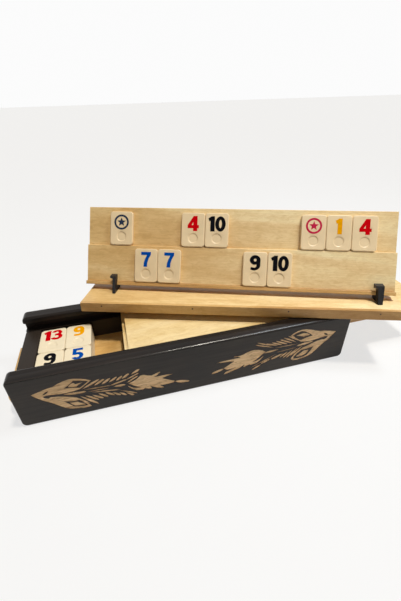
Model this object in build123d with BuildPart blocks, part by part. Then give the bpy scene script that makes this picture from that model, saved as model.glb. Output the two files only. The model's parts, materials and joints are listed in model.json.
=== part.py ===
"""Rummy tile case: a black-stained slide-lid case, its tiles and its four two-tier racks.

Origin at the middle of the front panel's underside; +X runs along the case, +Y to its back
and +Z up.
Two racks nested face to face are the case's sliding lid, one lies face down across the case
and one stands on that, carrying ten tiles.
"""
import os
from math import atan2, cos, degrees, radians, sin, tan

from build123d import *

# ---------------------------------------------------------------- clearances
seat_gap = 0.3          # a loose piece over whatever carries it
slide_gap = 0.4         # a sliding board to each side of its groove

# ---------------------------------------------------------------- tiles
tile_width = 26.5
tile_height = 38.0
tile_thickness = 4.3
tile_corner = 3.2
tile_edge = 0.6
dimple_radius = 5.6
dimple_depth = 0.5
dimple_height = 9.8     # centre of the dimple above the tile's lower edge
tile_layers = 5

# ---------------------------------------------------------------- racks
board_thickness = 3.6   # back board, tier board and ledge lip are one layer each
tier_margin = 4.0       # of the tier board left above a tile
tier_gap = 2.0          # between the tier boards of two racks nested face to face
ledge_thickness = 4.0
rack_length = 344.0
edge_break = 0.5
nail_left_end = 27.0    # the outer nails, from the rack's left and right ends
nail_right_end = 23.5
nail_left_inner = 120.0 # the inner ones, from the same ends
nail_right_inner = 123.0
nail_radius = 0.9
nail_depth = 3.2
ledge_width = 3 * board_thickness
tier_height = tile_height + tier_margin
board_height = 2 * tier_height + tier_gap

# ---------------------------------------------------------------- case
panel_thickness = 14.4
panel_corner = 5.0      # rounding of the panel's four corners, seen from the front
rim_round = 1.8         # rounding of the outer face's rim
inner_rim_round = 2.6
quirk = 0.5             # fine V-groove that sets the rounded rail off from the face below it
tile_play = 3.2         # room beside two rows of tiles
bottom_lip = 3.2
top_lip = 6.8
web = 2.4               # wood left between the two lower grooves
floor_thickness = 3.0
floor_groove_depth = 3.0
floor_front_corner = 17.0
floor_back_corner = 4.5
lid_play = 0.7          # room over the top layer of tiles
wall_thickness = 16.0
wall_edge = 1.0

case_length = rack_length
inner_width = 2 * tile_height + tile_play
case_width = inner_width + 2 * panel_thickness
pair_width = board_height + 2 * ledge_thickness
pair_groove_depth = (pair_width + 2 * slide_gap - inner_width) / 2
pair_groove_height = ledge_width + slide_gap
lower_groove_z = bottom_lip
floor_groove_z = lower_groove_z + pair_groove_height + web
floor_groove_height = floor_thickness + seat_gap
floor_top = floor_groove_z + floor_thickness
lid_groove_z = floor_top + tile_layers * tile_thickness + lid_play
case_height = lid_groove_z + pair_groove_height + top_lip
wall_bottom = floor_top + seat_gap
wall_top = lid_groove_z - seat_gap
floor_width = inner_width + 2 * floor_groove_depth - 2 * slide_gap
middle = (inner_width + panel_thickness) / 2    # the case's middle line, behind the origin

# ---------------------------------------------------------------- how it is laid out
upper_lid_open = 107.6  # how far each board stands slid along the case
lower_lid_open = 103.8
floor_open = -12.3
base_from_end = 63.5    # near left corner of the rack lying across the case, from the case's
base_from_middle = 35.2     # left end and its middle line
base_yaw = radians(-19.6)
stand_along = -4.6      # the standing rack, measured on the lying one
stand_back = 43.9
stand_lift = 1.7        # its heel stands on the toes of the hook feet
stand_yaw = radians(-2.0)
stand_lean = radians(25.3)
upper_single = 26.9     # left edge of each run of tiles, from the rack's left end
upper_pair = 110.1
lower_pair_left = 57.7
lower_pair_right = 180.8
upper_three_end = 21.6  # right edge of the last run, from the rack's right end
stack_play = 0.6        # stacked tiles to the walls beside them
tile_pitch = tile_width + seat_gap
row_pitch = tile_height + seat_gap

# ---------------------------------------------------------------- hook feet
foot_depth = 6.0        # of the leg that stands in front of the ledge strip
foot_top = 8.5          # head's back edge above the ledge
foot_brow = 3.0         # where the head begins
foot_nose_rise = 0.8
foot_toe = 1.0          # where the toe ends, from the rack's back
foot_round = 0.6
slim_sole = 3.2         # widths of the left foot, from its sole up
slim_neck = 3.8
slim_nose = 2.8         # how far the head overhangs the neck
slim_from_end = 35.8    # from the standing rack's left end
stout_sole = 4.6        # the right foot is cut from a thicker piece
stout_neck = 6.4
stout_nose = 2.4
stout_from_end = 17.8   # from the standing rack's right end


def finish(piece, name):
    """Label a finished piece and write it out."""
    piece.label = name
    export_step(piece, f"parts/{name}.step")


def at(place, x, y, z):
    """The same plane with its origin moved by a local offset."""
    return Plane(place.from_local_coords((x, y, z)), x_dir=place.x_dir, z_dir=place.z_dir)


def groove(inner_face, side, bottom, height, depth):
    """Section of one groove cut outward from a panel's inner face."""
    align_y = Align.MIN if side > 0 else Align.MAX
    with Locations((inner_face, bottom)):
        Rectangle(depth, height, align=(align_y, Align.MIN))


def side_panel(name, side):
    """A long grooved panel with a rounded rim; side is -1 for the front and +1 for the back."""
    face = middle + side * case_width / 2
    outside = Plane(
        origin=(0, face, case_height / 2),
        x_dir=(1, 0, 0),
        z_dir=(0, -side, 0),
    )
    inner_face = middle + side * inner_width / 2
    with BuildPart() as panel:
        with BuildSketch(outside):
            Rectangle(case_length, case_height)
        extrude(amount=panel_thickness)
        fillet(panel.edges().filter_by(Axis.Y), panel_corner)
        faces = panel.faces().filter_by(Axis.Y).sort_by(Axis.Y, reverse=side > 0)
        fillet(faces[0].edges(), rim_round)
        fillet(faces[-1].edges(), inner_rim_round)
        with BuildSketch(Plane.YZ.offset(-case_length / 2)):
            with Locations((face, case_height - rim_round - quirk)):
                RegularPolygon(quirk, 4, rotation=0)
            groove(inner_face, side, lower_groove_z, pair_groove_height, pair_groove_depth)
            groove(inner_face, side, floor_groove_z, floor_groove_height, floor_groove_depth)
            groove(inner_face, side, lid_groove_z, pair_groove_height, pair_groove_depth)
        extrude(amount=case_length, mode=Mode.SUBTRACT)
    finish(panel.part, name)


def end_wall(name, side):
    """A wall between the two panels, below the lid and above the sliding floor."""
    centre = side * (case_length - wall_thickness) / 2
    with BuildPart() as wall:
        with BuildSketch(Plane.XY.offset(wall_bottom)):
            with Locations((centre, middle)):
                Rectangle(wall_thickness, inner_width)
        extrude(amount=wall_top - wall_bottom)
        fillet(wall.edges().filter_by(Axis.Y).group_by(Axis.Z)[-1], wall_edge)
    finish(wall.part, name)


def board(name, place, height, layer):
    """A full-length board of a rack, in the given layer from the back, front edges broken."""
    with BuildPart() as piece:
        with BuildSketch(place.offset(layer * board_thickness)):
            with Locations((rack_length / 2, height / 2)):
                Rectangle(rack_length, height)
        extrude(amount=board_thickness)
        front = piece.faces().sort_by(Axis(place.origin, place.z_dir))[-1]
        chamfer(front.edges().filter_by(Axis(place.origin, place.x_dir)), edge_break)
    finish(piece.part, name)


def nail_spots():
    """Where the nails go through the ledge strip, in the middle of the two boards' edge."""
    return Locations(
        (nail_left_end, -board_thickness),
        (nail_left_inner, -board_thickness),
        (rack_length - nail_right_inner, -board_thickness),
        (rack_length - nail_right_end, -board_thickness),
    )


def rack(name, place):
    """A two-tier rack: x runs along it, y up its face from the ledge and z out of its face."""
    board(f"{name}_back_board", place, board_height, 0)
    board(f"{name}_tier_board", place, tier_height, 1)

    heel = at(place, 0, -ledge_thickness, 0)
    under = Plane(heel.origin, x_dir=place.x_dir, z_dir=place.y_dir)
    with BuildPart() as strip:
        with BuildSketch(heel):
            with Locations((rack_length / 2, ledge_thickness / 2)):
                Rectangle(rack_length, ledge_thickness)
        extrude(amount=ledge_width)
        front = strip.faces().sort_by(Axis(place.origin, place.z_dir))[-1]
        chamfer(front.edges().filter_by(Axis(place.origin, place.x_dir)), edge_break)
        with BuildSketch(under):
            with nail_spots():
                Circle(nail_radius)
        extrude(amount=nail_depth, mode=Mode.SUBTRACT)
    finish(strip.part, f"{name}_ledge_strip")

    with BuildPart() as nails:
        with BuildSketch(under):
            with nail_spots():
                Circle(nail_radius)
        extrude(amount=nail_depth)
    finish(nails.part, f"{name}_nails")


def hook_foot(name, place, x, sole_width, neck, nose):
    """A hook-headed foot: its leg stands before the ledge strip, which rests on its toe."""
    back = ledge_width + seat_gap
    front = back + foot_depth
    slope = tan(stand_lean)
    heel = -ledge_thickness - stand_lift / cos(stand_lean)
    sole = heel - front * slope
    with BuildPart() as foot:
        with BuildSketch(Plane(at(place, x, 0, 0).origin, x_dir=place.z_dir, z_dir=-place.x_dir)):
            with BuildLine():
                Polyline(
                    (foot_toe, heel - foot_toe * slope),
                    (front, sole),
                    (front, foot_top - foot_depth * slope),
                    (back, foot_top),
                    (back, -ledge_thickness - seat_gap),
                    (foot_toe, -ledge_thickness - seat_gap),
                    close=True,
                )
            make_face()
        extrude(amount=neck / 2 + nose, both=True)
        with BuildSketch(at(place, x, 0, 0)) as outline:
            with BuildLine():
                Polyline(
                    (-sole_width / 2, sole),
                    (sole_width / 2, sole),
                    (neck / 2, foot_brow),
                    (neck / 2, foot_top),
                    (-neck / 2 - nose, foot_top),
                    (-neck / 2 - nose, foot_brow + foot_nose_rise),
                    (-neck / 2, foot_brow),
                    close=True,
                )
            make_face()
            fillet(outline.vertices().group_by(Axis(place.origin, place.y_dir))[0], foot_round)
        extrude(amount=front, mode=Mode.INTERSECT)
    finish(foot.part, name)


def tile(place, dimpled=True):
    """One tile standing on the plane's x axis with its face along the plane's z."""
    with BuildPart() as piece:
        with BuildSketch(place):
            with Locations((tile_width / 2, tile_height / 2)):
                RectangleRounded(tile_width, tile_height, tile_corner)
        extrude(amount=tile_thickness)
        face = piece.faces().sort_by(Axis(place.origin, place.z_dir))[-1]
        chamfer(face.edges(), tile_edge)
        if dimpled:
            with BuildSketch(place.offset(tile_thickness)):
                with Locations((tile_width / 2, dimple_height)):
                    Circle(dimple_radius)
            extrude(amount=-dimple_depth, mode=Mode.SUBTRACT)
    return piece.part


os.makedirs("parts", exist_ok=True)

# ---------------------------------------------------------------- case, floor and lid
side_panel("case_front_panel", -1)
side_panel("case_back_panel", 1)
end_wall("case_left_wall", -1)
end_wall("case_right_wall", 1)

with BuildPart() as sliding_floor:
    with BuildSketch(Plane.XY.offset(floor_groove_z)) as floor_outline:
        with Locations((floor_open, middle)):
            Rectangle(case_length, floor_width)
        front_corners, back_corners = floor_outline.vertices().group_by(Axis.Y)
        fillet(front_corners, floor_front_corner)
        fillet(back_corners, floor_back_corner)
    extrude(amount=floor_thickness)
finish(sliding_floor.part, "sliding_floor")

case_end = -case_length / 2
lower_lid = Plane(
    origin=(case_end + lower_lid_open, middle - board_height / 2, lid_groove_z),
    x_dir=(1, 0, 0),
    z_dir=(0, 0, 1),
)
upper_lid = Plane(
    origin=(case_end + upper_lid_open, middle + board_height / 2, lid_groove_z + ledge_width),
    x_dir=(1, 0, 0),
    z_dir=(0, 0, -1),
)
rack("lower_lid_rack", lower_lid)
rack("upper_lid_rack", upper_lid)

# ---------------------------------------------------------------- rack lying face down on the rails
base_slope = atan2(ledge_width - board_thickness, board_height)
along = Vector(cos(base_yaw), sin(base_yaw), 0)
behind = Vector(-sin(base_yaw), cos(base_yaw), 0)
up = Vector(0, 0, 1)
base_normal = behind * sin(base_slope) + up * cos(base_slope)
base_back = behind * cos(base_slope) - up * sin(base_slope)
lip_rise = ledge_thickness * sin(base_slope)
lip_toe = Vector(
    case_end + base_from_end,
    middle + base_from_middle,
    case_height + seat_gap + lip_rise,
)
base_top = Plane(lip_toe + base_normal * ledge_width, x_dir=along, z_dir=base_normal)
base_place = Plane(
    base_top.from_local_coords((rack_length, ledge_thickness, 0)),
    x_dir=-along,
    z_dir=-base_normal,
)
rack("base_rack", base_place)

# ---------------------------------------------------------------- rack standing on it
stand_x = along * cos(stand_yaw) + base_back * sin(stand_yaw)
stand_behind = base_back * cos(stand_yaw) - along * sin(stand_yaw)
stand_up = stand_behind * sin(stand_lean) + base_normal * cos(stand_lean)
stand_out = base_normal * sin(stand_lean) - stand_behind * cos(stand_lean)
stand_heel = Vector(base_top.from_local_coords((stand_along, stand_back, seat_gap + stand_lift)))
stand = Plane(stand_heel + stand_up * ledge_thickness, x_dir=stand_x, z_dir=stand_out)
rack("standing_rack", stand)
hook_foot("hook_foot_left", stand, slim_from_end, slim_sole, slim_neck, slim_nose)
stout_x = rack_length - stout_from_end
hook_foot("hook_foot_right", stand, stout_x, stout_sole, stout_neck, stout_nose)

# ---------------------------------------------------------------- tiles on the rack
upper_row = at(stand, 0, tier_height + seat_gap, board_thickness + seat_gap)
lower_row = at(stand, 0, seat_gap, 2 * board_thickness + seat_gap)
upper_three = rack_length - upper_three_end - tile_width - 2 * tile_pitch
upper_runs = [(upper_single, 1), (upper_pair, 2), (upper_three, 3)]
lower_runs = [(lower_pair_left, 2), (lower_pair_right, 2)]
for row_name, row, runs in [("upper", upper_row, upper_runs), ("lower", lower_row, lower_runs)]:
    places = [left + i * tile_pitch for left, count in runs for i in range(count)]
    for i, x in enumerate(places):
        finish(tile(at(row, x, 0, 0)), f"{row_name}_row_tile_{i + 1}")

# ---------------------------------------------------------------- stacked tiles in the case
stack_left = case_end + wall_thickness + stack_play
stack_near = middle - inner_width / 2 + stack_play
stack_base = Plane((stack_left, stack_near, floor_top + seat_gap))
columns = {"left": 0, "right": tile_pitch}
rows = {"front": 0, "back": row_pitch}
top_layer = (tile_layers - 1) * tile_thickness
for row_name, y in rows.items():
    for column_name, x in columns.items():
        finish(tile(at(stack_base, x, y, top_layer)), f"stack_tile_{row_name}_{column_name}")
lower_layers = [
    tile(at(stack_base, x, y, layer * tile_thickness), dimpled=False)
    for layer in range(tile_layers - 1)
    for y in rows.values()
    for x in columns.values()
]
finish(Compound(children=lower_layers), "stack_tiles_below")

print(f"case {case_length:.1f} x {case_width:.1f} x {case_height:.1f}")
print(f"lying rack's slope {degrees(base_slope):.2f} degrees")
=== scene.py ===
"""Looks of the rummy tile case: woods, numbered tiles, carved front, floor, light and camera.

Shapes are written in millimetres and turned into metres by MM; the lamps' places and targets are
in metres. Colours are linear red, green and blue.
"""

import json
import random
from math import atan2, cos, pi, radians, sin

import bmesh
import bpy
from mathutils import Matrix, Vector


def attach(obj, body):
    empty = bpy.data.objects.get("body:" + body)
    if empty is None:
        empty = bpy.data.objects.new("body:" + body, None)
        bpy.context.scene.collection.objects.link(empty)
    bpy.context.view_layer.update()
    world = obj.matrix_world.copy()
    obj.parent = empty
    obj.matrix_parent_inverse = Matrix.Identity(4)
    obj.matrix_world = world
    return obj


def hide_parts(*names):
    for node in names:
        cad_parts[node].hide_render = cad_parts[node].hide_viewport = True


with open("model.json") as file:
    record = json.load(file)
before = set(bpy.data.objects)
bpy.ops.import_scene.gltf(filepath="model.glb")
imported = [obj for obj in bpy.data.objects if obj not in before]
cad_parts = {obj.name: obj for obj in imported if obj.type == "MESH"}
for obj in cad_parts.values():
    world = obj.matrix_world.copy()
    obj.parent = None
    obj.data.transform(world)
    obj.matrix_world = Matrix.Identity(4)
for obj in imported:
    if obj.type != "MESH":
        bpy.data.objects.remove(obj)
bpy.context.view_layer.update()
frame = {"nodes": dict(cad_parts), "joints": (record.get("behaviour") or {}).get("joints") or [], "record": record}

MM = 0.001
joint_axis = {j["name"]: Vector(j["axis"]).normalized() for j in frame["joints"]}
body_nodes = frame["record"]["behaviour"]["bodies"]
body_of_node = {node: body for body in body_nodes for node in body_nodes[body]}

# ---------------------------------------------------------------- directions of the boards
# The rows of a set of axes are the directions along a board, across it and out of its face.
UP = Vector((0, 0, 1))
STRAIGHT = Matrix.Identity(3)
ENDWAYS = Matrix(((0, 1, 0), (-1, 0, 0), (0, 0, 1)))
base_back = -joint_axis["hook_foot_left_pull"]
base_along = base_back.cross(UP).normalized()
base_axes = Matrix((base_along, base_back, base_along.cross(base_back)))
stand_up = joint_axis["standing_rack_lift"]
stand_out = joint_axis["upper_row_tile_1_lift"]
stand_axes = Matrix((stand_up.cross(stand_out), stand_up, stand_out))


def extent(node, axes):
    """Lowest and highest place of a node along three axes, in metres."""
    points = [axes @ v.co for v in frame["nodes"][node].data.vertices]
    low = Vector([min(p[i] for p in points) for i in range(3)])
    high = Vector([max(p[i] for p in points) for i in range(3)])
    return low, high


# ================================================================ materials
MIX_FACTOR = 0          # the Mix node's sockets for colours
MIX_A = 6
MIX_B = 7
MIX_RESULT = 2


class Shader:
    """A node material under construction."""

    def __init__(self, name):
        self.material = bpy.data.materials.new(name)
        self.material.use_nodes = True
        self.tree = self.material.node_tree
        self.bsdf = self.tree.nodes["Principled BSDF"]

    def feed(self, socket, value):
        """Link another node's output to a socket, or set the socket's own value."""
        if isinstance(value, bpy.types.NodeSocket):
            self.tree.links.new(value, socket)
        elif socket.type == "RGBA":
            socket.default_value = (*value, 1)
        else:
            socket.default_value = value

    def node(self, kind, inputs=None, **settings):
        made = self.tree.nodes.new(kind)
        for key, value in settings.items():
            setattr(made, key, value)
        for key, value in (inputs or {}).items():
            self.feed(made.inputs[key], value)
        return made

    def place(self):
        """Where a point is on the object, in the case's frame, in metres."""
        return self.node("ShaderNodeTexCoord").outputs["Object"]

    def coordinate(self, letter):
        """X, Y or Z of that place."""
        return self.node("ShaderNodeSeparateXYZ", {"Vector": self.place()}).outputs[letter]

    def grain(self, axes, cells, detail, rough, distortion=0.0, scale=1.0):
        """Noise with so many cells to the metre along a board, across it and through it."""
        turn = self.node("ShaderNodeMapping", {"Vector": self.place(), "Rotation": axes.to_euler()})
        stretch = self.node("ShaderNodeMapping", {"Vector": turn.outputs["Vector"], "Scale": cells})
        values = {"Vector": stretch.outputs["Vector"], "Scale": scale, "Detail": detail}
        values.update({"Roughness": rough, "Distortion": distortion})
        return self.node("ShaderNodeTexNoise", values).outputs["Fac"]

    def cloud(self, cells, detail, rough, scale=1.0):
        """Noise with as many cells to the metre every way."""
        return self.grain(STRAIGHT, (cells,) * 3, detail, rough, scale=scale)

    def ramp(self, value, stops):
        """Colour ramp from (position, colour) stops; a number is a grey."""
        made = self.node("ShaderNodeValToRGB", {"Fac": value})
        elements = made.color_ramp.elements
        while len(elements) < len(stops):
            elements.new(0.5)
        for element, (position, colour) in zip(elements, stops):
            element.position = position
            shade = colour if isinstance(colour, tuple) else (colour,) * 3
            element.color = (*shade, 1)
        return made.outputs["Color"]

    def mix(self, kind, factor, a, b):
        made = self.node("ShaderNodeMix", data_type="RGBA", blend_type=kind)
        self.feed(made.inputs[MIX_FACTOR], factor)
        self.feed(made.inputs[MIX_A], a)
        self.feed(made.inputs[MIX_B], b)
        return made.outputs[MIX_RESULT]

    def darken(self, base, value, dark_at, clear_at, tint, share):
        """A colour multiplied by a tint where a value is low, untouched where it is high."""
        return self.mix("MULTIPLY", share, base, self.ramp(value, [(dark_at, tint), (clear_at, 1.0)]))

    def spread(self, value, low, high, floor=0.0, top=1.0):
        """A value taken from low..high to floor..top."""
        values = {"Value": value, "From Min": low, "From Max": high, "To Min": floor, "To Max": top}
        return self.node("ShaderNodeMapRange", values).outputs["Result"]

    def bump(self, height, distance, strength, under=None):
        """The surface's normal, over another bump or none; distance is in millimetres."""
        values = {"Height": height, "Distance": distance * MM, "Strength": strength}
        if under is not None:
            values["Normal"] = under
        return self.node("ShaderNodeBump", values).outputs["Normal"]

    def finish(self, colour, rough, normal=None, **settings):
        """Set the surface; a setting's name has underscores for the socket's spaces."""
        self.feed(self.bsdf.inputs["Base Color"], colour)
        self.feed(self.bsdf.inputs["Roughness"], rough)
        if normal is not None:
            self.feed(self.bsdf.inputs["Normal"], normal)
        for name, value in settings.items():
            self.feed(self.bsdf.inputs[name.replace("_", " ")], value)
        return self.material


def tinted(colour, factors):
    """A colour with each of its parts multiplied."""
    return tuple(part * factor for part, factor in zip(colour, factors))


# Dark, middle and light tone of each pale wood, and where they lie on the figure's ramp.
BOARD_TONES = ((0.62, 0.375, 0.125), (0.78, 0.53, 0.225), (0.87, 0.64, 0.32))
STRIP_TONES = ((0.50, 0.275, 0.085), (0.66, 0.40, 0.145), (0.76, 0.50, 0.21))
LID_TONES = ((0.72, 0.50, 0.21), (0.86, 0.66, 0.32), (0.92, 0.74, 0.42))
SHEEN_TONES = ((0.80, 0.56, 0.27), (0.92, 0.72, 0.40), (0.97, 0.82, 0.50))
TONE_STOPS = (0.34, 0.5, 0.64)
SHEEN_LEFT = -0.13      # from here to there along the case a board's painted sheen grows, turning it to the sheen tones
SHEEN_RIGHT = 0.15
MOTTLE_TINT = (0.84, 0.77, 0.66)
FIBRE_TINT = (0.84, 0.78, 0.68)
PORE_TINT = (0.52, 0.38, 0.24)

BLACK_STAIN = ((0.0060, 0.0046, 0.0038), (0.0180, 0.0122, 0.0088))
# the front face's painted sheen: a greyer black than the tops and sides
FACE_SHEEN_BLACK = ((0.033, 0.031, 0.030), (0.051, 0.047, 0.044))
STAIN_CAST = ((0.82, 0.82, 0.84), (1.2, 1.08, 0.98))    # cool and warm patches in the stain
SCUFF = (0.08, 0.06, 0.045)
RUBBED_EDGE = (0.06, 0.046, 0.035)
STREAK_STOPS = (0.3, 0.7)
FACE_SHEEN_BACK = 0.9         # the front face's painted sheen, a greyer black, ends this far behind it
RAIL_RUB = 2.6          # hands polish a rail's rounded top down to here, fully in its upper half
PLAIN_GLOSS = 0.15      # specular levels
RAIL_GLOSS = 0.24
VARNISH_GLOSS = 0.42
IVORY_GLOSS = 0.35
PAINT_GLOSS = 0.03
PLASTIC_GLOSS = 0.2
FLOOR_GLOSS = 0.1

BARE_TONES = ((0.52, 0.33, 0.155), (0.76, 0.52, 0.28), (0.86, 0.63, 0.37))
CHISEL_TINT = (0.42, 0.32, 0.23)
CLOUD_SHADE = (0.93, 0.93, 0.93)        # the ivory's darker clouds
THIN_PAINT = (0.82, 0.82, 0.82)
SPECK_TINT = (0.72, 0.62, 0.48)
HOLLOW_SHADE = (0.66, 0.52, 0.36)      # painted shade: what is left of the ivory's colour in a hollow
STEEL_TONES = ((0.05, 0.028, 0.016), (0.16, 0.11, 0.08))
PLASTIC_TONES = ((0.010, 0.009, 0.009), (0.024, 0.021, 0.020))


def pale_wood(name, axes, tones, seed, sheen_share=0.0):
    """Clear-varnished board; sheen_share is how far a painted sheen turns it to paler tones towards its right end.

    A board's seed makes its figure a little finer, so that no two boards are alike.
    """
    s = Shader(name)
    figure = s.grain(axes, (2.2, 13.0, 13.0), 3.0, 0.5, distortion=2.2, scale=1.0 + 0.07 * seed)
    mottle = s.grain(axes, (70.0, 190.0, 190.0), 4.0, 0.7, distortion=0.8, scale=1.0 + 0.05 * seed)
    fibres = s.grain(axes, (30.0, 1500.0, 1500.0), 3.0, 0.6)
    pores = s.grain(axes, (190.0, 3400.0, 3400.0), 2.0, 0.5)
    base = s.ramp(figure, list(zip(TONE_STOPS, tones)))
    # painted sheen: paler tones laid over the board towards the case's right end
    if sheen_share:
        sheened = s.ramp(figure, list(zip(TONE_STOPS, SHEEN_TONES)))
        turned = s.spread(s.coordinate("X"), SHEEN_LEFT, SHEEN_RIGHT, top=sheen_share)
        base = s.mix("MIX", turned, base, sheened)
    mottled = s.darken(base, mottle, 0.36, 0.60, MOTTLE_TINT, 0.7)
    grained = s.darken(mottled, fibres, 0.32, 0.62, FIBRE_TINT, 0.6)
    colour = s.darken(grained, pores, 0.27, 0.38, PORE_TINT, 0.45)
    rough = s.spread(mottle, 0.3, 0.7, 0.42, 0.32)
    normal = s.bump(mottle, 0.35, 0.16, under=s.bump(fibres, 0.06, 0.35))
    return s.finish(colour, rough, normal, Specular_IOR_Level=VARNISH_GLOSS)


def black_wood(name, axes, face=None, rail=None, gloss=PLAIN_GLOSS):
    """Black stain under satin varnish, with grain and rubbed edges.

    face is the place of the front face, painted a greyer black as painted sheen, and rail the height of a rail's
    polished top.
    """
    s = Shader(name)
    streaks = s.grain(axes, (9.0, 420.0, 420.0), 5.0, 0.62)
    pores = s.grain(axes, (35.0, 2200.0, 2200.0), 2.0, 0.5)
    patches = s.grain(axes, (14.0, 22.0, 22.0), 2.0, 0.5)
    scuffs = s.grain(axes, (160.0, 160.0, 160.0), 5.0, 0.7)
    edges = s.node("ShaderNodeNewGeometry").outputs["Pointiness"]
    base = s.ramp(streaks, list(zip(STREAK_STOPS, BLACK_STAIN)))
    # painted sheen: the front face is painted a greyer black than the tops and sides
    if face is not None:
        face_sheen = s.ramp(streaks, list(zip(STREAK_STOPS, FACE_SHEEN_BLACK)))
        near = s.spread(s.coordinate("Y"), face + FACE_SHEEN_BACK * MM, face)
        base = s.mix("MIX", near, base, face_sheen)
    cast = s.ramp(patches, list(zip((0.35, 0.7), STAIN_CAST)))
    stained = s.mix("MULTIPLY", 0.9, base, cast)
    scuffed = s.mix("MIX", s.spread(scuffs, 0.66, 0.78, top=0.25), stained, SCUFF)
    colour = s.mix("MIX", s.spread(edges, 0.53, 0.62, top=0.35), scuffed, RUBBED_EDGE)
    rough = s.spread(streaks, 0.25, 0.75, 0.30, 0.48)
    if rail is not None:
        polished = s.spread(s.coordinate("Z"), rail - RAIL_RUB * MM, rail - RAIL_RUB * MM / 2)
        rough = s.mix("MIX", polished, rough, s.spread(streaks, 0.25, 0.75, 0.16, 0.24))
    normal = s.bump(pores, 0.1, 0.35, under=s.bump(streaks, 0.22, 0.4))
    return s.finish(colour, rough, normal, Specular_IOR_Level=gloss)


def carved_wood(name):
    """Bare wood at the bottom of the carving, with the chisel's marks."""
    s = Shader(name)
    figure = s.grain(STRAIGHT, (20.0, 240.0, 240.0), 4.0, 0.6, distortion=0.6)
    cuts = s.grain(STRAIGHT, (140.0, 500.0, 700.0), 2.0, 0.5, distortion=0.8)
    base = s.ramp(figure, list(zip((0.3, 0.52, 0.72), BARE_TONES)))
    colour = s.darken(base, cuts, 0.34, 0.50, CHISEL_TINT, 0.65)
    rough = s.spread(cuts, 0.3, 0.7, 0.5, 0.7)
    return s.finish(colour, rough, s.bump(cuts, 0.5, 0.7))


def ivory(name, tint, seed):
    """Moulded tile, ivory, with a soft gloss and painted shade in its hollows."""
    s = Shader(name)
    clouds = s.cloud(60.0, 3.0, 0.5, scale=1.0 + 0.1 * seed)
    fine = s.cloud(2400.0, 2.0, 0.5)
    hollows = s.node("ShaderNodeNewGeometry").outputs["Pointiness"]
    base = s.ramp(clouds, [(0.3, tinted(tint, CLOUD_SHADE)), (0.7, tint)])
    speckled = s.darken(base, fine, 0.22, 0.32, SPECK_TINT, 0.5)
    # painted shade: the hollows, the dimple most, are darkened
    colour = s.mix("MIX", s.spread(hollows, 0.49, 0.42, top=0.6), speckled, tinted(tint, HOLLOW_SHADE))
    rough = s.spread(clouds, 0.3, 0.7, 0.30, 0.42)
    return s.finish(colour, rough, s.bump(fine, 0.02, 0.25), Specular_IOR_Level=IVORY_GLOSS)


def paint(name, colour):
    """Paint in a moulded figure, a little uneven."""
    s = Shader(name)
    patches = s.cloud(420.0, 3.0, 0.6)
    tint = s.ramp(patches, [(0.3, tinted(colour, THIN_PAINT)), (0.65, colour)])
    rough = s.spread(patches, 0.3, 0.7, 0.45, 0.6)
    return s.finish(tint, rough, s.bump(patches, 0.05, 0.3), Specular_IOR_Level=PAINT_GLOSS)


def nail_steel(name):
    """Tarnished steel."""
    s = Shader(name)
    tarnish = s.cloud(900.0, 4.0, 0.6)
    colour = s.ramp(tarnish, list(zip((0.3, 0.6), STEEL_TONES)))
    rough = s.spread(tarnish, 0.3, 0.7, 0.5, 0.3)
    return s.finish(colour, rough, s.bump(tarnish, 0.05, 0.4), Metallic=0.85)


def black_plastic(name):
    """Moulded plastic of the hook feet."""
    s = Shader(name)
    clouds = s.cloud(260.0, 4.0, 0.6)
    colour = s.ramp(clouds, list(zip((0.3, 0.7), PLASTIC_TONES)))
    rough = s.spread(clouds, 0.3, 0.7, 0.26, 0.44)
    return s.finish(colour, rough, s.bump(clouds, 0.08, 0.4), Specular_IOR_Level=PLASTIC_GLOSS)


# ---------------------------------------------------------------- materials of the CAD nodes
def dress(node, material):
    """Give a CAD node its material."""
    slots = frame["nodes"][node].data.materials
    slots.clear()
    slots.append(material)


rack_axes = {
    "lower_lid_rack": STRAIGHT,
    "upper_lid_rack": STRAIGHT,
    "base_rack": base_axes,
    "standing_rack": stand_axes,
}
# how strongly each rack's boards get the painted sheen towards the right
PAINTED_SHEENS = {"standing_rack": 1.0, "base_rack": 0.7}
TIER_SEEDS = 4          # the seeds of each kind of board start here, so that no two are alike
STRIP_SEEDS = 8
FLOOR_SEED = 13
nail_metal = nail_steel("nail_metal")
foot_plastic = black_plastic("foot_plastic")
for number, (rack, axes) in enumerate(rack_axes.items()):
    tones = LID_TONES if "lid" in rack else BOARD_TONES
    sheen_share = PAINTED_SHEENS.get(rack, 0.0)
    strip_wood = pale_wood(f"{rack}_strip_wood", axes, STRIP_TONES, number + STRIP_SEEDS)
    dress(f"{rack}_back_board", pale_wood(f"{rack}_back_wood", axes, tones, number, sheen_share))
    dress(f"{rack}_tier_board", pale_wood(f"{rack}_tier_wood", axes, tones, number + TIER_SEEDS, sheen_share))
    dress(f"{rack}_ledge_strip", strip_wood)
    dress(f"{rack}_nails", nail_metal)
dress("sliding_floor", pale_wood("floor_wood", STRAIGHT, BOARD_TONES, FLOOR_SEED))
dress("hook_foot_left", foot_plastic)
dress("hook_foot_right", foot_plastic)
panel_low, panel_high = extent("case_front_panel", STRAIGHT)
panel_black = black_wood("panel_black", STRAIGHT, face=panel_low.y, rail=panel_high.z)
back_black = black_wood("back_black", STRAIGHT, rail=panel_high.z)
rail_black = black_wood("rail_black", STRAIGHT, rail=panel_high.z, gloss=RAIL_GLOSS)
wall_black = black_wood("wall_black", ENDWAYS)
dress("case_back_panel", back_black)
dress("case_left_wall", wall_black)
dress("case_right_wall", wall_black)


# ================================================================ mesh helpers
WELD = 0.002            # corners this near are one


def link_object(name, data):
    """A new object in the scene, at the origin."""
    made = bpy.data.objects.new(name, data)
    bpy.context.scene.collection.objects.link(made)
    return made


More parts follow.
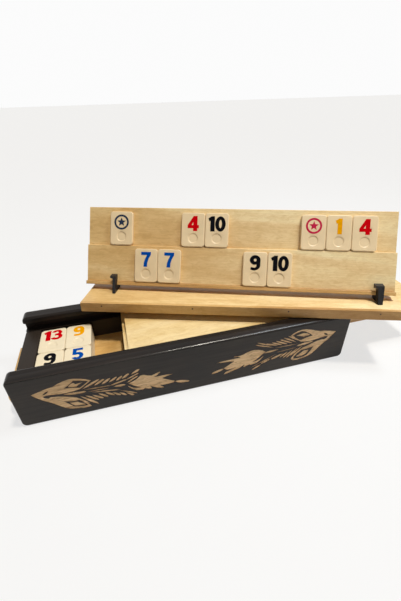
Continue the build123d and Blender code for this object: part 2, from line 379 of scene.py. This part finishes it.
def add_piece(name, mesh, node, material):
    """A piece of one material that rides on the body of a CAD node."""
    mesh.materials.append(material)
    made = link_object(name, mesh)
    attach(made, body_of_node[node])
    return made


def mesh_from(bm, name):
    """A mesh from what was built in bmesh."""
    mesh = bpy.data.meshes.new(name)
    bm.to_mesh(mesh)
    bm.free()
    return mesh


def weld(mesh, outwards=False):
    """Join a mesh's doubled corners and, where asked, turn its faces outwards."""
    bm = bmesh.new()
    bm.from_mesh(mesh)
    bmesh.ops.remove_doubles(bm, verts=bm.verts, dist=WELD * MM)
    if outwards:
        bmesh.ops.recalc_face_normals(bm, faces=bm.faces)
    bm.to_mesh(mesh)
    bm.free()


def arc(centre, radii, start, end, count):
    """Points on an ellipse's arc, angles in degrees."""
    turns = [radians(start + (end - start) * i / count) for i in range(count + 1)]
    return [(centre[0] + radii[0] * cos(t), centre[1] + radii[1] * sin(t)) for t in turns]


def bridge(bm, ring, following):
    """A band of faces between two closed rings of corners."""
    for i in range(len(ring)):
        j = (i + 1) % len(ring)
        bm.faces.new((ring[i], ring[j], following[j], following[i]))


# ================================================================ numbered tiles
TILE_ROUND = 0.9        # rounding of the tile's front edge
BACK_ROUND = 0.35       # and of its back edge
FACE_RIM = 0.15         # flat ring inside the front edge's rounding
TILE_CORNER = 3.2
CORNER_SHARE = 0.7      # of an inset that the corner's radius gives up
SIDE_POINTS = 7         # along each straight side of a tile, between its corners
CORNER_STEPS = 6
FRONT_STEPS = 5
BACK_STEPS = 3
DIMPLE_HEIGHT = 9.8     # of the dimple's middle above the tile's lower edge
DIMPLE_RADIUS = 5.7
DIMPLE_SLOPE = 0.85     # width of its sloping side
DIMPLE_DEPTH = 0.65
FIGURE_HEIGHT = 16.8
RACK_FIGURE_MIDDLE = 26.0       # above the tile's lower edge
STACK_FIGURE_MIDDLE = 27.0
FIGURE_RELIEF = 0.10    # the paint stands this much proud, with a rounded edge
PLATE_RELIEF = 1.0      # of a figure as it is drawn, before it's flattened onto the tile
PLATE_EDGE = 0.12


def tile_outline(width, height, inset):
    """Rounded rectangle around the tile, starting at its right side, counter-clockwise."""
    radius = TILE_CORNER - inset * CORNER_SHARE
    corners = []
    for side_x, side_y, start in ((1, 1, 0), (-1, 1, 90), (-1, -1, 180), (1, -1, 270)):
        x = width / 2 + side_x * (width / 2 - inset - radius)
        y = height / 2 + side_y * (height / 2 - inset - radius)
        corners.append(arc((x, y), (radius, radius), start, start + 90, CORNER_STEPS))
    points = []
    for corner, following in zip(corners, corners[1:] + corners[:1]):
        here = Vector(corner[-1])
        there = Vector(following[0])
        steps = [here.lerp(there, (i + 1) / (SIDE_POINTS + 1)) for i in range(SIDE_POINTS)]
        points += corner + [tuple(step) for step in steps]
    return points


def tile_mesh(name, low, size, axes):
    """Tile with rounded front and back edges and a round dimple in its face."""
    width, height, thickness = (c / MM for c in size)
    sections = []       # how far each ring lies inside the outline, and how high above the back
    for i in range(BACK_STEPS + 1):
        t = pi / 2 * i / BACK_STEPS
        sections.append((BACK_ROUND * (1 - sin(t)), BACK_ROUND * (1 - cos(t))))
    for i in range(FRONT_STEPS + 1):
        t = pi / 2 * i / FRONT_STEPS
        sections.append((TILE_ROUND * (1 - cos(t)), thickness - TILE_ROUND * (1 - sin(t))))
    sections.append((TILE_ROUND + FACE_RIM, thickness))
    rings = [[(x, y, z) for x, y in tile_outline(width, height, inset)] for inset, z in sections]
    mid_x = width / 2
    mid_y = DIMPLE_HEIGHT
    headings = [atan2(y - mid_y, x - mid_x) for x, y in tile_outline(width, height, 0)]
    dish = [            # radius and depth of the rings down into the dimple
        (DIMPLE_RADIUS + 0.25, 0),
        (DIMPLE_RADIUS + 0.08, 0.03),
        (DIMPLE_RADIUS - 0.1, 0.12),
        (DIMPLE_RADIUS - DIMPLE_SLOPE + 0.12, DIMPLE_DEPTH - 0.08),
        (DIMPLE_RADIUS - DIMPLE_SLOPE - 0.1, DIMPLE_DEPTH),
        (DIMPLE_RADIUS - DIMPLE_SLOPE - 0.4, DIMPLE_DEPTH),
    ]
    for radius, depth in dish:
        z = thickness - depth
        rings.append([(mid_x + radius * cos(a), mid_y + radius * sin(a), z) for a in headings])
    bm = bmesh.new()
    back = axes.transposed()
    made = [[bm.verts.new(back @ (low + Vector(p) * MM)) for p in ring] for ring in rings]
    for ring, following in zip(made, made[1:]):
        bridge(bm, ring, following)
    bm.faces.new(list(reversed(made[0])))
    bm.faces.new(made[-1])
    mesh = mesh_from(bm, name)
    mesh.shade_smooth()
    return mesh


SIGN_BOX = Vector((10, 14.6))   # width and height of the box that figures are drawn in


def figure_outlines(sign):
    """Closed outlines of one figure in its box, holes included."""
    if sign == "0":
        return [arc((5, 7.3), (4.7, 7.3), 0, 350, 35), arc((5, 7.3), (1.3, 4.0), 0, 345, 23)]
    if sign == "1":
        return [[(3.4, 0), (7.3, 0), (7.3, 14.6), (4.4, 14.6), (1.4, 12.4), (2.4, 9.6), (3.4, 10.1)]]
    if sign == "3":
        upper, lower = (4.6, 10.5), (4.6, 4.55)
        outline = arc(upper, (4.5, 4.1), 160, -48, 20) + arc(lower, (5.0, 4.55), 48, -158, 22)
        outline += arc(lower, (1.75, 1.75), -160, 70, 12) + [(3.2, 6.3), (3.2, 8.8)]
        outline += arc(upper, (1.5, 1.45), -60, 165, 12)
        return [outline]
    if sign == "4":
        outline = [(5.1, 0), (8.9, 0), (8.9, 2.7), (10.3, 2.7), (10.3, 5.8), (8.9, 5.8), (8.9, 14.6)]
        outline += [(5.3, 14.6), (-0.1, 5.6), (-0.1, 2.7), (5.1, 2.7)]
        return [outline, [(3.5, 5.8), (5.1, 8.6), (5.1, 5.8)]]
    if sign == "5":
        outline = [(1.1, 14.6), (9.2, 14.6), (9.2, 11.6), (4.2, 11.6), (4.0, 9.3)]
        outline += arc((4.9, 4.75), (4.8, 4.75), 85, -160, 24)
        outline += arc((4.7, 4.6), (1.75, 1.9), -150, 110, 12) + [(3.3, 6.2), (0.8, 6.6)]
        return [outline]
    if sign == "7":
        outline = [(0.4, 14.6), (9.6, 14.6), (9.6, 12.0), (7.6, 8.2), (6.4, 4.0), (6.2, 0)]
        outline += [(2.7, 0), (3.1, 4.2), (4.4, 8.3), (6.0, 11.5), (0.4, 11.5)]
        return [outline]
    bowl = (5.0, 9.9)
    outline = arc(bowl, (4.8, 4.7), -8, 250, 26) + [(4.6, 5.25), (6.2, 5.9)]
    outline += arc((4.4, 4.9), (1.9, 2.3), -10, -115, 8) + [(1.3, 3.2), (0.9, 0.7)]
    outline += arc((4.3, 5.3), (5.5, 5.3), -110, -5, 14)
    return [outline, arc(bowl, (1.25, 1.4), 0, 340, 17)]


def star_outlines():
    """A five-pointed star inside a thick ring, the joker's mark, centred in the figure's box."""
    middle = tuple(SIGN_BOX / 2)
    star = []
    for i in range(10):
        radius = 2.0 if i % 2 else 4.6
        turn = radians(90 + 36 * i)
        star.append((middle[0] + radius * cos(turn), middle[1] + radius * sin(turn)))
    ring = arc(middle, (7.45, 7.45), 0, 353, 47)
    ring_hole = arc(middle, (5.6, 5.6), 0, 352, 39)
    return [ring, ring_hole, star]


def figure_mesh(name, outlines, relief, edge=0.0):
    """Plate with these outlines, centred on z = 0, relief thick and rounded by edge all round."""
    curve = bpy.data.curves.new(name, "CURVE")
    curve.dimensions = "2D"
    curve.fill_mode = "BOTH"
    curve.extrude = relief / 2
    curve.bevel_depth = edge
    curve.bevel_resolution = 1
    curve.offset = -edge
    for outline in outlines:
        spline = curve.splines.new("POLY")
        spline.points.add(len(outline) - 1)
        for point, (x, y) in zip(spline.points, outline):
            point.co = (x, y, 0, 1)
        spline.use_cyclic_u = True
    holder = link_object(name, curve)
    evaluated = holder.evaluated_get(bpy.context.evaluated_depsgraph_get())
    mesh = bpy.data.meshes.new_from_object(evaluated)
    mesh.name = name
    bpy.data.objects.remove(holder)
    bpy.data.curves.remove(curve)
    return mesh


INK = {
    "red": paint("red_paint", (0.66, 0.0, 0.004)),
    "black": paint("black_paint", (0.003, 0.003, 0.005)),
    "blue": paint("blue_paint", (0.0, 0.078, 0.43)),
    "yellow": paint("yellow_paint", (0.93, 0.40, 0.0)),
    "navy": paint("navy_paint", (0.030, 0.045, 0.085)),
    "crimson": paint("crimson_paint", (0.62, 0.020, 0.075)),
}
# painted shade: the rack's tiles get a darker, warmer copy of the stack tiles' ivory
SHADED_RACK_TINT = (0.90, 0.70, 0.43)
STACK_TINT = (0.92, 0.80, 0.58)
tile_marks = {
    "upper_row_tile_1": ("star", "navy"),
    "upper_row_tile_2": ("4", "red"),
    "upper_row_tile_3": ("10", "black"),
    "upper_row_tile_4": ("star", "crimson"),
    "upper_row_tile_5": ("1", "yellow"),
    "upper_row_tile_6": ("4", "red"),
    "lower_row_tile_1": ("7", "blue"),
    "lower_row_tile_2": ("7", "blue"),
    "lower_row_tile_3": ("9", "black"),
    "lower_row_tile_4": ("10", "black"),
    "stack_tile_back_left": ("13", "red"),
    "stack_tile_back_right": ("9", "yellow"),
    "stack_tile_front_left": ("9", "black"),
    "stack_tile_front_right": ("5", "blue"),
}
SINGLE_STRETCH = 1.06   # how much wider than drawn a figure stands alone
DOUBLE_STRETCH = 1.08   # and as one of two
SIGN_ENDS = {"1": (1.3, 7.5), "0": (0.1, 9.9), "3": (0.0, 9.8)}     # left and right, in the box


def sign_spots(text):
    """Each figure of a number, with its box's left end from the middle and its stretch."""
    if text == "star":
        return [("star", -SIGN_BOX.x / 2, 1.0)]
    if len(text) == 1:
        return [(text, -SIGN_BOX.x / 2 * SINGLE_STRETCH, SINGLE_STRETCH)]
    spots = []
    x = -sum(SIGN_ENDS[c][1] - SIGN_ENDS[c][0] for c in text) * DOUBLE_STRETCH / 2
    for c in text:
        left, right = SIGN_ENDS[c]
        spots.append((c, x - left * DOUBLE_STRETCH, DOUBLE_STRETCH))
        x += (right - left) * DOUBLE_STRETCH
    return spots


for number, (node, (text, ink)) in enumerate(tile_marks.items()):
    on_rack = "row" in node
    axes = stand_axes if on_rack else STRAIGHT
    # painted shade: tiles on the rack take the darker copy of the ivory
    tint = SHADED_RACK_TINT if on_rack else STACK_TINT
    low, high = extent(node, axes)
    mesh = tile_mesh(node, low, high - low, axes)
    tile = add_piece(f"{node}_body", mesh, node, ivory(f"{node}_ivory", tint, number))
    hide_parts(node)
    turn = axes.transposed().to_4x4()
    above_edge = RACK_FIGURE_MIDDLE if on_rack else STACK_FIGURE_MIDDLE
    middle = Vector(((low.x + high.x) / 2, low.y + above_edge * MM, high.z))
    scale = FIGURE_HEIGHT / SIGN_BOX.y
    flatten = FIGURE_RELIEF / (PLATE_RELIEF / 2 + PLATE_EDGE)
    for place, (sign, left, stretch) in enumerate(sign_spots(text)):
        name = f"{node}_figure_{place + 1}"
        outlines = star_outlines() if sign == "star" else figure_outlines(sign)
        mark = figure_mesh(name, outlines, PLATE_RELIEF, PLATE_EDGE)
        for v in mark.vertices:
            x = (left + v.co.x * stretch) * scale
            y = (v.co.y - SIGN_BOX.y / 2) * scale
            z = v.co.z * flatten
            v.co = turn @ (middle + Vector((x, y, z)) * MM)
        add_piece(name, mark, node, INK[ink])

LOWER_SEED = 20
lower_ivory = ivory("lower_tiles_ivory", STACK_TINT, LOWER_SEED)
low, high = extent("stack_tiles_below", STRAIGHT)
single_low, single_high = extent("stack_tile_front_left", STRAIGHT)
single = single_high - single_low
layers = round((high.z - low.z) / single.z)
for layer in range(layers):
    for row in range(2):
        for column in range(2):
            corner = Vector((
                low.x + column * (high.x - low.x - single.x),
                low.y + row * (high.y - low.y - single.y),
                low.z + layer * (high.z - low.z) / layers,
            ))
            name = f"lower_tile_{layer + 1}_{row + 1}_{column + 1}"
            mesh = tile_mesh(name, corner, single, STRAIGHT)
            tile = add_piece(name, mesh, "stack_tiles_below", lower_ivory)
            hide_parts("stack_tiles_below")


# ================================================================ carved front
# Points are drawn as distances from the case's middle and heights above the table.
CARVE_DEPTH = 0.35
CARVE_ALONG = 0.5       # both carvings stand this much to the right of their drawing
CARVE_DROP = 1.0        # and this much below it
RIGHT_LIFT = 1.7        # the right head, stalk and tail are lifted this much
HAND_SLIP = 0.12        # how far the hand strays from the drawing
BLADE_EARLY = 0.45      # of the way to a chip's widest place, its first bend
BLADE_LATE = 0.88       # of the way to its tip, its last bend
random.seed(7)


def blade(root, tip, width, lean=0.6):
    """A leaf-shaped chip between two points, widest at lean along its length."""
    a = Vector(root)
    b = Vector(tip)
    side = (b - a).normalized()
    side = Vector((-side.y, side.x)) * width / 2
    early = a.lerp(b, lean * BLADE_EARLY)
    wide = a.lerp(b, lean)
    late = a.lerp(b, BLADE_LATE)
    outline = [a, early - side * 0.7, wide - side, late - side * 0.75, b, late + side * 0.6]
    return [tuple(p) for p in outline + [wide + side, early + side * 0.7]]


def head_outlines(brow, jaw, upper_eye, upper_pupil, lower_eye, lower_pupil):
    """The two-lobed head, split by the dark midrib, and the eyes left standing in its lobes."""
    upper_edge = [(155, 40.2), (147.5, 42.4), (140, 44.4), (135, 45.0)] + brow
    midrib_top = [(106, 41.0), (110, 38.0), (114, 35.3), (119.5, 34.4), (126, 33.9), (132, 34.5)]
    midrib_top += [(138, 35.6), (143, 35.9), (146.3, 35.2)]
    midrib_bottom = [(145.3, 33.0), (142.5, 31.5), (140, 32.6), (134, 31.4), (128, 29.6), (122, 27.0)]
    lower_edge = jaw + [(120, 10.2), (126, 11.7), (130, 14.0), (134.5, 18.0)]
    lower_edge += [(139, 23.3), (143, 27.0), (147, 30.4), (150.5, 34.3), (153.2, 37.6)]
    nick = [(146.2, 37.6), (143.6, 39.9), (140.2, 41.3), (141.5, 38.7), (144.4, 37.2)]
    head = upper_edge + midrib_top + midrib_bottom + lower_edge
    return [head, upper_eye, upper_pupil, lower_eye, lower_pupil, nick]


def left_head():
    """The left carving's head."""
    brow = [(131.5, 47.1), (126.5, 49.0), (120.5, 50.0), (116.5, 49.8), (111, 48.0), (106.5, 46.0)]
    brow += [(102.6, 43.7)]
    jaw = [(118.5, 24.8), (116.5, 22.6), (113.8, 19.2), (111, 15.2), (109.2, 12.0), (108.2, 9.4)]
    jaw += [(114, 9.2)]
    upper_eye = [(117.3, 47.3), (111.5, 45.7), (105.0, 43.2), (109.5, 39.6), (113.7, 36.9)]
    upper_eye += [(119.5, 38.7), (127.2, 40.1), (122.5, 43.1)]
    upper_pupil = [(123.6, 41.0), (119.6, 44.4), (117.6, 44.6), (116.4, 42.6), (109.6, 43.4)]
    upper_pupil += [(114.2, 40.9), (116.2, 39.3), (119.6, 39.9)]
    lower_eye = [(131, 23.9), (126.5, 22.4), (121, 21.4), (117.4, 21.5), (115.0, 18.8), (112.6, 15.2)]
    lower_eye += [(111.0, 11.9), (115, 11.9), (120, 12.9), (123.6, 14.2), (126.7, 18.4)]
    lower_pupil = [(126.3, 20.4), (119.4, 19.7), (117.4, 17.3), (113.2, 14.5), (113.0, 13.4)]
    lower_pupil += [(118, 14.1), (122.5, 15.4), (124.4, 17.4)]
    return head_outlines(brow, jaw, upper_eye, upper_pupil, lower_eye, lower_pupil)


def right_head():
    """The right carving's head, with larger eyes."""
    brow = [(130, 46.8), (124.5, 49.0), (118, 51.2), (112.5, 51.9), (107.5, 51.0), (102.6, 48.9)]
    brow += [(99.8, 46.4)]
    jaw = [(118.0, 26.0), (113.4, 23.3), (108.6, 18.8), (105.6, 14.6), (105.0, 12.0), (107.6, 9.8)]
    jaw += [(113.6, 8.9)]
    upper_eye = [(112.5, 50.1), (106.9, 48.9), (102.6, 46.2), (106.2, 42.4), (110.0, 39.3), (113.2, 37.6)]
    upper_eye += [(118.5, 39.5), (126.8, 40.9), (122.4, 44.6), (117.6, 48.2)]
    upper_pupil = [(106.4, 45.2), (111.5, 43.5), (115.5, 42.0), (121, 42.0), (123.4, 42.8), (119, 45.9)]
    upper_pupil += [(115.2, 46.8), (111, 45.9)]
    lower_eye = [(131, 24.6), (126.5, 24.0), (121, 23.2), (116.2, 22.8), (111.8, 19.4), (108.4, 15.2)]
    lower_eye += [(108.0, 12.4), (113, 11.2), (120, 11.7), (124.6, 13.7), (128.2, 18.6)]
    lower_pupil = [(125.4, 20.6), (119.6, 20.8), (115.8, 18.2), (111.6, 15.2), (111.8, 13.9)]
    lower_pupil += [(118, 13.9), (122.2, 15.6), (124.2, 17.6)]
    return head_outlines(brow, jaw, upper_eye, upper_pupil, lower_eye, lower_pupil)


def left_stalk():
    """The left stalk's fine lines, from the head back to the tail."""
    return [
        blade((129.5, 32.4), (109.0, 30.2), 2.9, 0.5),
        blade((112.0, 33.1), (86.0, 31.6), 1.3, 0.5),
        blade((88.0, 31.4), (70.5, 35.2), 1.9, 0.5),
        blade((72.5, 34.6), (58.6, 40.4), 1.6, 0.5),
        blade((109.0, 29.6), (88.0, 28.9), 0.9, 0.5),
        blade((104.5, 27.8), (78.5, 23.6), 1.4, 0.5),
        blade((84.5, 29.3), (72.8, 28.5), 2.8),
        blade((71.8, 30.6), (60.0, 36.8), 1.7, 0.5),
    ]


def right_stalk():
    """The right stalk's, fewer and finer."""
    return [
        blade((129.5, 32.4), (109.0, 30.2), 2.9, 0.5),
        blade((111.5, 33.2), (84.0, 33.8), 1.0, 0.5),
        blade((88.5, 31.0), (71.5, 29.8), 2.4),
        blade((110.0, 28.6), (86.0, 26.8), 0.9, 0.5),
    ]


def left_barbs():
    """Slanting chips above and below the left carving's stalk."""
    return [
        blade((112.0, 34.5), (95.0, 42.8), 2.5),
        blade((101.5, 35.7), (90.8, 41.8), 2.5),
        blade((94.6, 35.4), (85.4, 41.2), 2.6),
        blade((87.8, 35.8), (79.3, 41.3), 2.4),
        blade((81.0, 36.2), (74.3, 41.1), 2.3),
        blade((75.6, 37.2), (67.8, 42.2), 2.6),
        blade((66.6, 40.3), (57.6, 45.0), 2.7, 0.7),
        blade((117.2, 23.4), (108.6, 13.6), 1.3),
        blade((115.6, 26.0), (100.8, 10.2), 2.6),
        blade((111.4, 25.8), (99.9, 15.6), 2.4),
        blade((105.0, 24.2), (95.6, 16.6), 2.5),
        blade((99.2, 24.4), (91.0, 17.4), 2.5),
        blade((92.9, 24.0), (85.0, 17.6), 2.4),
        blade((86.4, 21.9), (79.4, 15.8), 2.5),
        blade((80.4, 20.0), (73.8, 14.0), 2.2),
        blade((73.9, 17.6), (66.7, 11.7), 2.4, 0.7),
        blade((79.6, 23.0), (63.0, 13.0), 1.4, 0.7),
    ]


def right_barbs():
    """The same on the right, cut more freely."""
    return [
        blade((113.6, 37.8), (97.0, 48.6), 1.6),
        blade((108.8, 37.6), (92.4, 47.2), 1.8),
        blade((103.8, 37.4), (88.2, 45.8), 1.9),
        blade((98.4, 37.2), (83.6, 45.0), 1.9),
        blade((92.8, 37.4), (78.6, 44.2), 1.9),
        blade((86.8, 38.2), (72.4, 44.0), 1.9),
        blade((80.4, 39.4), (62.4, 47.8), 1.4, 0.7),
        blade((82.0, 36.6), (60.2, 45.6), 1.2),
        blade((116.5, 30.3), (103.0, 19.2), 2.1),
        blade((111.0, 28.8), (98.7, 17.2), 2.2),
        blade((105.5, 27.6), (94.9, 18.0), 2.2),
        blade((99.9, 26.4), (90.7, 19.8), 2.1),
        blade((95.1, 25.2), (80.5, 20.2), 2.8),
        blade((80.1, 21.4), (69.3, 16.8), 2.6),
        blade((86.0, 26.4), (58.0, 14.2), 1.1, 0.5),
        blade((70.0, 16.2), (58.8, 10.0), 2.2),
    ]


def offset(point, x, z):
    """A point beside another."""
    return (point[0] + x, point[1] + z)


def tail_outlines(top, high_root, high_tip, middle_tip, low_tip, end_root, end_tip):
    """The feathered tail and its loose end; its top and its feathers' tips are given."""
    high = [high_root, offset(high_tip, 0.6, 0.5), high_tip, (42, 32.5), (45.2, 30.8)]
    middle = [(42, 30.4), offset(middle_tip, 8, 0.9), middle_tip, (34.5, 27.8), (38, 26.9)]
    end = [(33, 23.9), (28.5, 21.2), offset(end_root, 0, 0.9), offset(end_root, 1.0, -0.7)]
    under = [(30.5, 17.2), (36, 17.4), (40.6, 17.8)]
    low = [offset(low_tip, 2.4, 2.8), low_tip, offset(low_tip, 3.2, 0.2), (44, 15.6), (50.2, 19.6)]
    small = [(48.9, 16.8), (49, 15.9), (52, 16.7), (55.5, 18.2), (57, 17.2), (60, 17.2), (64, 18.1)]
    spine = [(67.3, 20.5), (69.6, 23.3), (71.4, 26.3), (69.4, 24.7), (66.6, 22.2), (63.4, 20.8)]
    spine += [(58.6, 20.3), (61.3, 21.9), (65.5, 25.2), (68.6, 27.8)]
    tail = top + high + middle + end + under + low + small + spine
    return [tail, blade(end_root, end_tip, 3.3, 0.4)]


def left_tail():
    """The left carving's tail."""
    top = [(70.2, 28.9), (65, 31.0), (61, 33.4), (58, 36.4), (54.5, 36.3), (51.5, 34.6), (47.2, 33.2)]
    high = [(43.5, 35.0), (38.6, 35.6)]
    return tail_outlines(top, *high, (25.9, 29.6), (36.2, 13.3), (25.2, 18.4), (9.8, 14.2))


def right_tail():
    """The right carving's tail, with longer feathers."""
    top = [(73.0, 31.3), (69.4, 34.2), (64.8, 36.2), (60, 37.1), (55.2, 36.6), (51.0, 35.3), (47.6, 33.9)]
    high = [(44.6, 33.1), (37.4, 32.9)]
    return tail_outlines(top, *high, (18.4, 29.5), (27.0, 11.4), (27.0, 19.6), (13.6, 15.6))


def hand_slip():
    """A small stray to either side."""
    return random.uniform(-HAND_SLIP, HAND_SLIP)


def rough_hewn(outline, side, lift=0.0):
    """The outline as a hand cut it, on the left (-1) or right (+1) half of the face."""
    drop = CARVE_DROP - lift
    return [(side * x + CARVE_ALONG + hand_slip(), z - drop + hand_slip()) for x, z in outline]


left_cuts = [rough_hewn(o, -1) for o in left_head() + left_stalk() + left_barbs() + left_tail()]
right_cuts = [rough_hewn(o, 1, RIGHT_LIFT) for o in right_head() + right_stalk() + right_tail()]
right_cuts += [rough_hewn(o, 1) for o in right_barbs()]
bare_wood = carved_wood("bare_carved_wood")


def cutter(name, mesh, material):
    """A closed tool that cuts away what it covers and leaves its own material there."""
    mesh.materials.append(material)
    weld(mesh, outwards=True)
    return link_object(name, mesh)


def knife_mesh(name, outlines):
    """The knife's volume for outlines that don't cross, through the face's plane."""
    mesh = figure_mesh(name, outlines, 2 * CARVE_DEPTH)
    for v in mesh.vertices:
        x, z, depth = v.co
        v.co = Vector((x * MM, panel_low.y + depth * MM, z * MM))
    return mesh


RAIL_DOME = 7.0         # the front rail's top curves down over this depth
RAIL_DROP = 1.7         # to this far below its crown
DOME_STEPS = 24
PLANE_SPARE = 1.0       # how far the plane reaches past the wood


def plane_mesh(name):
    """What the plane takes off the front rail, along its whole length."""
    crown = panel_high.z / MM
    face = panel_low.y / MM
    section = [(face - PLANE_SPARE, crown - RAIL_DROP)]
    for i in range(DOME_STEPS + 1):
        turn = pi / 2 * i / DOME_STEPS
        section.append((face + RAIL_DOME * (1 - cos(turn)), crown - RAIL_DROP * (1 - sin(turn))))
    section.append((face + RAIL_DOME, crown + PLANE_SPARE))
    section.append((face - PLANE_SPARE, crown + PLANE_SPARE))
    bm = bmesh.new()
    ends = [panel_low.x - PLANE_SPARE * MM, panel_high.x + PLANE_SPARE * MM]
    near, far = [[bm.verts.new((x, y * MM, z * MM)) for y, z in section] for x in ends]
    bm.faces.new(near)
    bm.faces.new(far)
    bridge(bm, near, far)
    return mesh_from(bm, name)


panel_mesh = frame["nodes"]["case_front_panel"].data.copy()
panel_mesh.name = "carved_front_panel"
panel_mesh.materials.clear()
weld(panel_mesh)
panel_mesh.polygons.foreach_set("material_index", [0] * len(panel_mesh.polygons))
panel = add_piece("carved_front_panel", panel_mesh, "case_front_panel", panel_black)
head_count = len(left_head())
groups = [left_cuts[:head_count], right_cuts[:head_count]]
groups += [[outline] for outline in left_cuts[head_count:] + right_cuts[head_count:]]
cutters = []
for number, outlines in enumerate(groups):
    name = f"carving_cutter_{number}"
    cutters.append(cutter(name, knife_mesh(name, outlines), bare_wood))
cutters.append(cutter("rail_plane", plane_mesh("rail_plane"), rail_black))
for knife in cutters:
    cut = panel.modifiers.new(knife.name, "BOOLEAN")
    cut.operation = "DIFFERENCE"
    cut.solver = "EXACT"
    cut.material_mode = "TRANSFER"
    cut.object = knife
evaluated = panel.evaluated_get(bpy.context.evaluated_depsgraph_get())
carved_mesh = bpy.data.meshes.new_from_object(evaluated)
carved_mesh.name = "carved_front_panel_mesh"
panel.modifiers.clear()
panel.data = carved_mesh
for knife in cutters:
    bpy.data.objects.remove(knife)
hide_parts("case_front_panel")

# ================================================================ floor, light and camera
FLOOR_SHADE = 0.86
FLOOR_ROUGHNESS = 0.9
FLOOR_SIZE = 12.0       # metres
FLOOR_DROP = 0.2        # below the case's underside
GROUND_WHITE = (0.97, 0.97, 0.97)       # how the floor and backdrop show to the camera
FLOOR_GLOW = 0.72       # how much of the floor's look is that white, the rest is lit
AMBIENT_COLOUR = (1.0, 0.97, 0.93)
AMBIENT_STRENGTH = 0.03


def seen_directly(tree):
    """One where a camera, glossy or transmission ray looks, zero elsewhere."""
    path = tree.nodes.new("ShaderNodeLightPath")
    seen = tree.nodes.new("ShaderNodeMath")
    seen.operation = "MAXIMUM"
    tree.links.new(path.outputs["Is Camera Ray"], seen.inputs[0])
    tree.links.new(path.outputs["Is Glossy Ray"], seen.inputs[1])
    shown = tree.nodes.new("ShaderNodeMath")
    shown.operation = "MAXIMUM"
    tree.links.new(seen.outputs[0], shown.inputs[0])
    tree.links.new(path.outputs["Is Transmission Ray"], shown.inputs[1])
    return shown.outputs[0]


def floor_material():
    """Pale floor: most of the backdrop's white where it is seen, under the object's soft shadow."""
    s = Shader("studio_floor")
    tint = s.ramp(s.cloud(30.0, 3.0, 0.5), [(0.3, FLOOR_SHADE - 0.01), (0.7, FLOOR_SHADE)])
    s.finish(tint, FLOOR_ROUGHNESS, Specular_IOR_Level=FLOOR_GLOSS)
    glow = s.node("ShaderNodeEmission", {"Color": GROUND_WHITE})
    share = s.spread(seen_directly(s.tree), 0.0, 1.0, top=FLOOR_GLOW)
    blend = s.node("ShaderNodeMixShader", {0: share, 1: s.bsdf.outputs[0], 2: glow.outputs[0]})
    s.feed(s.tree.nodes["Material Output"].inputs["Surface"], blend.outputs[0])
    return s.material


bpy.ops.mesh.primitive_plane_add(size=FLOOR_SIZE, location=(0, 0, -FLOOR_DROP * MM))
ground = bpy.context.object
ground.name = "studio_ground"
ground.data.materials.append(floor_material())

world = bpy.data.worlds.new("studio")
bpy.context.scene.world = world
world.use_nodes = True
nodes = world.node_tree.nodes
links = world.node_tree.links
nodes.clear()
ambient = nodes.new("ShaderNodeBackground")
ambient.inputs["Color"].default_value = (*AMBIENT_COLOUR, 1)
ambient.inputs["Strength"].default_value = AMBIENT_STRENGTH
backdrop = nodes.new("ShaderNodeBackground")
backdrop.inputs["Color"].default_value = (*GROUND_WHITE, 1)
backdrop.inputs["Strength"].default_value = 1.0
either = nodes.new("ShaderNodeMixShader")
output = nodes.new("ShaderNodeOutputWorld")
links.new(seen_directly(world.node_tree), either.inputs[0])
links.new(ambient.outputs[0], either.inputs[1])
links.new(backdrop.outputs[0], either.inputs[2])
links.new(either.outputs[0], output.inputs["Surface"])


def add_lamp(name, kind, energy, colour, place, towards):
    """A lamp at a place, shining along a direction."""
    lamp = bpy.data.lights.new(name, kind)
    lamp.energy = energy
    lamp.color = colour
    holder = link_object(name, lamp)
    holder.location = place
    holder.rotation_mode = "QUATERNION"
    holder.rotation_quaternion = towards.to_track_quat("-Z", "Y")
    return lamp


def sun(name, towards, strength, spread, colour):
    """A soft distant lamp; spread is the angle that it fills, in degrees."""
    lamp = add_lamp(name, "SUN", strength, colour, (0, 0, 0), Vector(towards))
    lamp.angle = radians(spread)


def softbox(name, place, target, size, power, colour):
    """A square lamp near the object, turned to a point on it."""
    lamp = add_lamp(name, "AREA", power, colour, place, Vector(target) - Vector(place))
    lamp.size = size


WARM = (1.0, 0.94, 0.84)
WARM_FILL = (1.0, 0.94, 0.86)
NEUTRAL = (1.0, 0.975, 0.93)
DAYLIGHT = (0.84, 0.92, 1.0)
sun("key", (-0.20, 0.06, -1.0), strength=2.3, spread=6, colour=WARM)
sun("front_fill", (0.10, 1.0, -0.3), strength=0.06, spread=60, colour=WARM_FILL)
softbox("sheen", (-0.08, -0.58, 0.69), (0.02, 0.12, 0.11), size=0.30, power=0.5, colour=NEUTRAL)
softbox("window", (0.371, 0.052, 0.696), (0.085, 0.0, 0.06), size=0.15, power=2.2, colour=DAYLIGHT)

FOCAL = 327.14          # in image pixels
IMAGE_HEIGHT = 601
SENSOR = 36.0
HEADING = 0.2572        # in radians: the camera's turn from straight ahead to the right,
DIP = 0.5887            # down from level,
ROLL = -0.0204          # and about its own line of sight
CAMERA_PLACE = Vector((-56.58, -237.10, 269.08))
camera_data = bpy.data.cameras.new("camera")
camera_data.sensor_width = SENSOR
camera_data.lens = FOCAL / IMAGE_HEIGHT * SENSOR
camera_data.clip_start = 0.01
level = Vector((sin(HEADING), cos(HEADING), 0))
look = level * cos(DIP) - UP * sin(DIP)
right = Vector((cos(HEADING), -sin(HEADING), 0))
above = level * sin(DIP) + UP * cos(DIP)
camera_right = right * cos(ROLL) + above * sin(ROLL)
camera_up = above * cos(ROLL) - right * sin(ROLL)
turned = Matrix((camera_right, camera_up, -look)).transposed()
camera = link_object("camera", camera_data)
camera.matrix_world = Matrix.Translation(CAMERA_PLACE * MM) @ turned.to_4x4()
bpy.context.scene.camera = camera
bpy.context.scene.view_settings.view_transform = "Standard"
